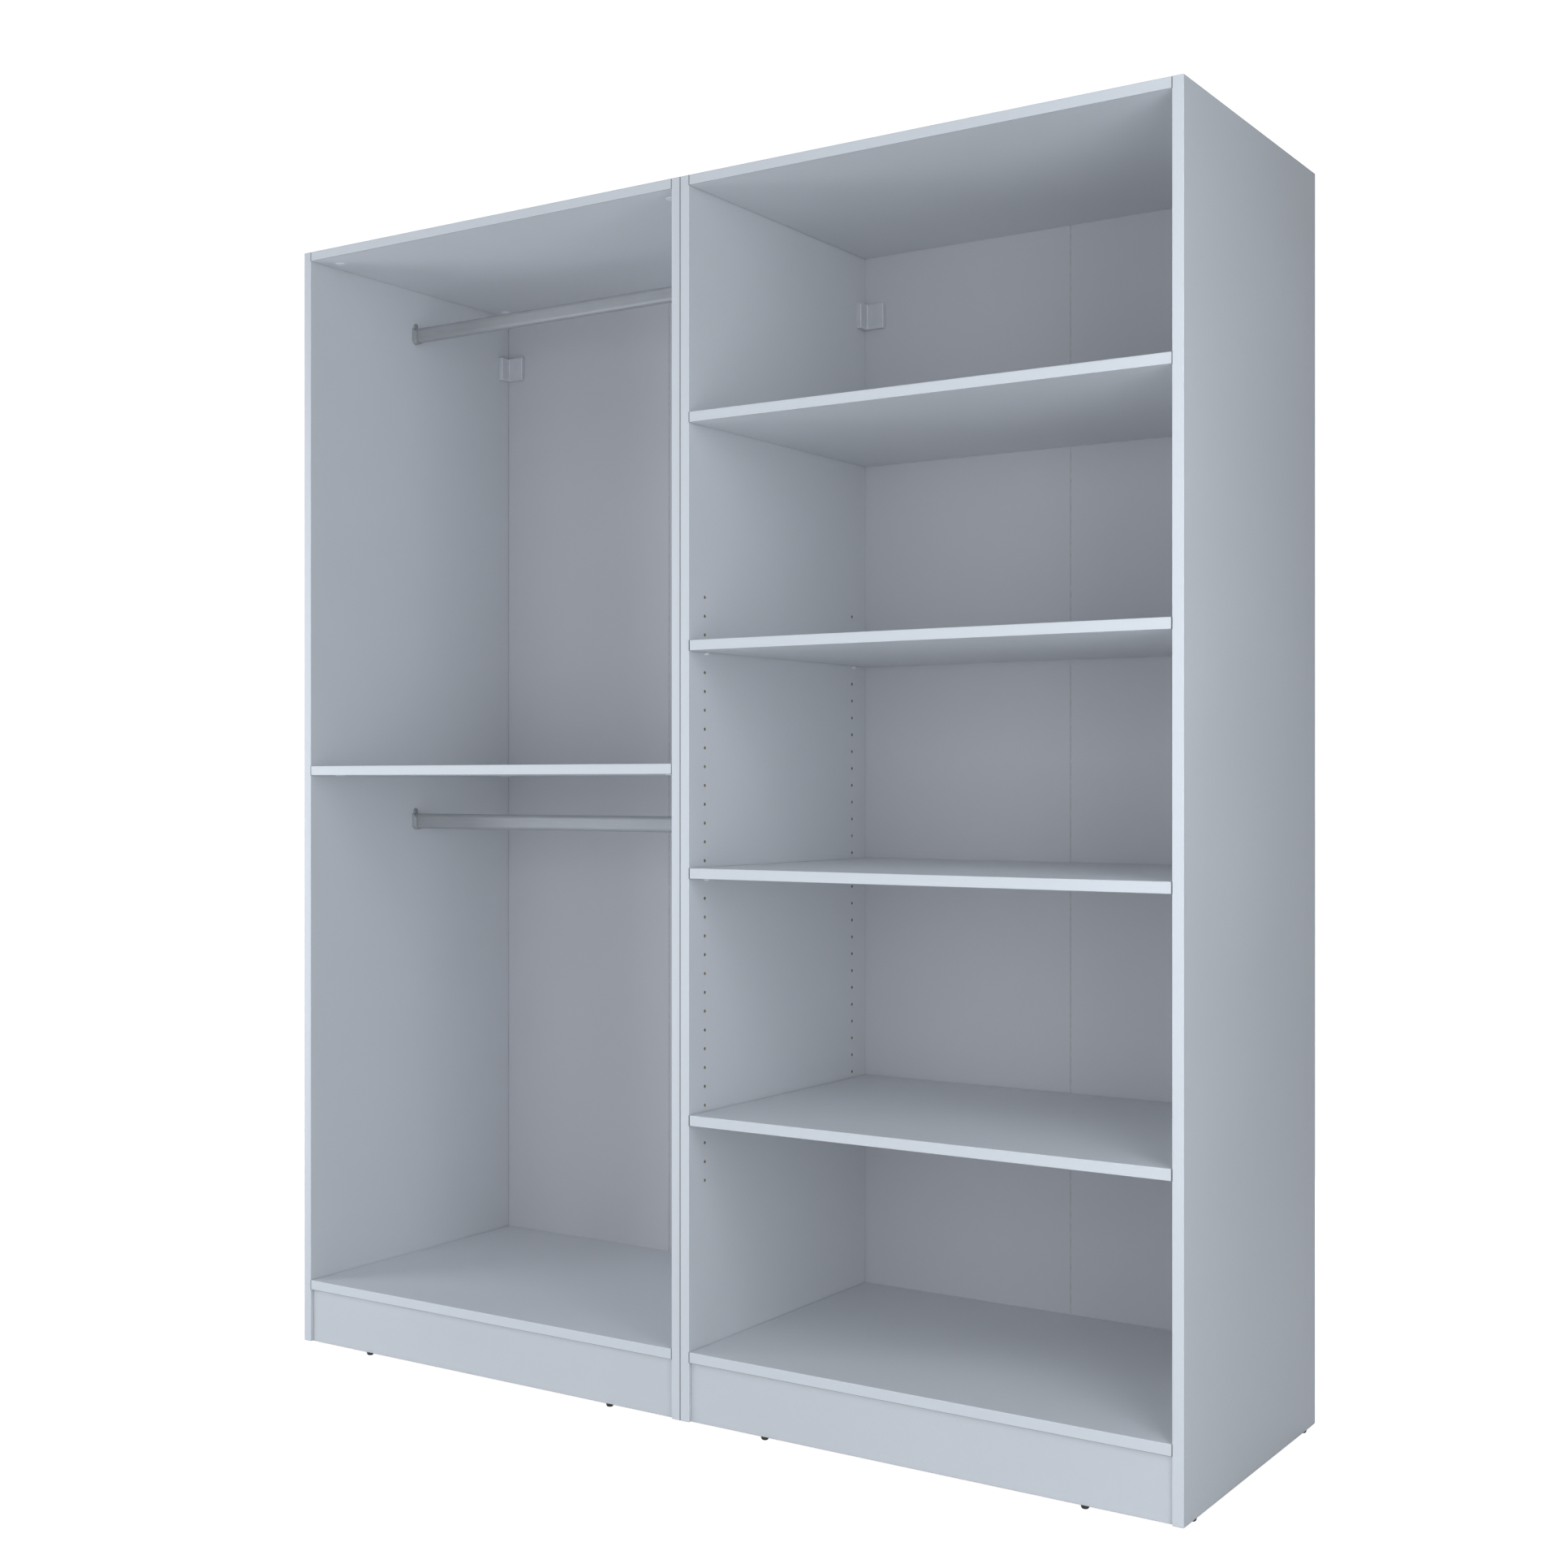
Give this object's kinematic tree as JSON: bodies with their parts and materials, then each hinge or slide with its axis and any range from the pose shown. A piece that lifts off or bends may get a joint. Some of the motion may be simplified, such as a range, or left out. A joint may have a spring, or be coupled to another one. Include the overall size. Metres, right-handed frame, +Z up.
{
  "type": "open wardrobe",
  "caption": "Tall open wardrobe of white boards: a hanging bay with oval rails above and below a shelf, beside a bay of fixed and adjustable shelves, on low plinths.",
  "frame": {"origin": "on the floor, below the middle of the whole box", "axes": "+Z up, front faces -Y, the hanging bay is on -X and the shelf bay on +X"},
  "size_m": [1.8006, 0.5782, 2.1068],
  "materials": {
    "melamine": "matt white melamine on chipboard, 18 mm, with edge banding",
    "back_sheet": "white lacquered hardboard, 3 mm",
    "rail": "satin grey tube",
    "cup": "satin grey casting",
    "bracket": "zinc plated",
    "cover": "pale grey, fine texture",
    "pin": "white, smooth",
    "glide": "dark olive brown, smooth"
  },
  "bodies": {
    "carcasses": {"left_bay_back_left": "back_sheet", "left_bay_back_right": "back_sheet", "left_bay_bottom": "melamine", "left_bay_front_plinth": "melamine", "left_bay_left_corner_bracket": "bracket", "left_bay_left_corner_cover": "cover", "left_bay_left_front_glide": "glide", "left_bay_left_rear_glide": "glide", "left_bay_left_side": "melamine", "left_bay_middle_shelf": "melamine", "left_bay_plinth_left_glide": "glide", "left_bay_plinth_right_glide": "glide", "left_bay_rear_plinth": "melamine", "left_bay_right_corner_bracket": "bracket", "left_bay_right_corner_cover": "cover", "left_bay_right_front_glide": "glide", "left_bay_right_rear_glide": "glide", "left_bay_right_side": "melamine", "left_bay_top": "melamine", "lower_pinned_shelf_left_front_pin": "pin", "lower_pinned_shelf_left_rear_pin": "pin", "lower_pinned_shelf_right_front_pin": "pin", "lower_pinned_shelf_right_rear_pin": "pin", "lower_rail_left_cup": "cup", "lower_rail_right_cup": "cup", "middle_pinned_shelf_left_front_pin": "pin", "middle_pinned_shelf_left_rear_pin": "pin", "middle_pinned_shelf_right_front_pin": "pin", "middle_pinned_shelf_right_rear_pin": "pin", "right_bay_back_left": "back_sheet", "right_bay_back_right": "back_sheet", "right_bay_bottom": "melamine", "right_bay_fixed_shelf": "melamine", "right_bay_front_plinth": "melamine", "right_bay_left_corner_bracket": "bracket", "right_bay_left_corner_cover": "cover", "right_bay_left_front_glide": "glide", "right_bay_left_rear_glide": "glide", "right_bay_left_side": "melamine", "right_bay_plinth_left_glide": "glide", "right_bay_plinth_right_glide": "glide", "right_bay_rear_plinth": "melamine", "right_bay_right_corner_bracket": "bracket", "right_bay_right_corner_cover": "cover", "right_bay_right_front_glide": "glide", "right_bay_right_rear_glide": "glide", "right_bay_right_side": "melamine", "right_bay_top": "melamine", "upper_pinned_shelf_left_front_pin": "pin", "upper_pinned_shelf_left_rear_pin": "pin", "upper_pinned_shelf_right_front_pin": "pin", "upper_pinned_shelf_right_rear_pin": "pin", "upper_rail_left_cup": "cup", "upper_rail_right_cup": "cup"},
    "upper_shelf": {"upper_pinned_shelf": "melamine"},
    "middle_shelf": {"middle_pinned_shelf": "melamine"},
    "lower_shelf": {"lower_pinned_shelf": "melamine"},
    "upper_hanging_rail": {"upper_rail": "rail"},
    "lower_hanging_rail": {"lower_rail": "rail"}
  },
  "joints": [
    {"name": "upper_shelf_pulls_out", "type": "slide", "parent": "carcasses", "child": "upper_shelf", "axis": [0, -1, 0], "range_m": [0, 0.6]},
    {"name": "middle_shelf_pulls_out", "type": "slide", "parent": "carcasses", "child": "middle_shelf", "axis": [0, -1, 0], "range_m": [0, 0.6]},
    {"name": "lower_shelf_pulls_out", "type": "slide", "parent": "carcasses", "child": "lower_shelf", "axis": [0, -1, 0], "range_m": [0, 0.6]},
    {"name": "upper_hanging_rail_lifts_out", "type": "slide", "parent": "carcasses", "child": "upper_hanging_rail", "axis": [0, 0, 1], "range_m": [0, 0.045]},
    {"name": "lower_hanging_rail_lifts_out", "type": "slide", "parent": "carcasses", "child": "lower_hanging_rail", "axis": [0, 0, 1], "range_m": [0, 0.045]}
  ]
}
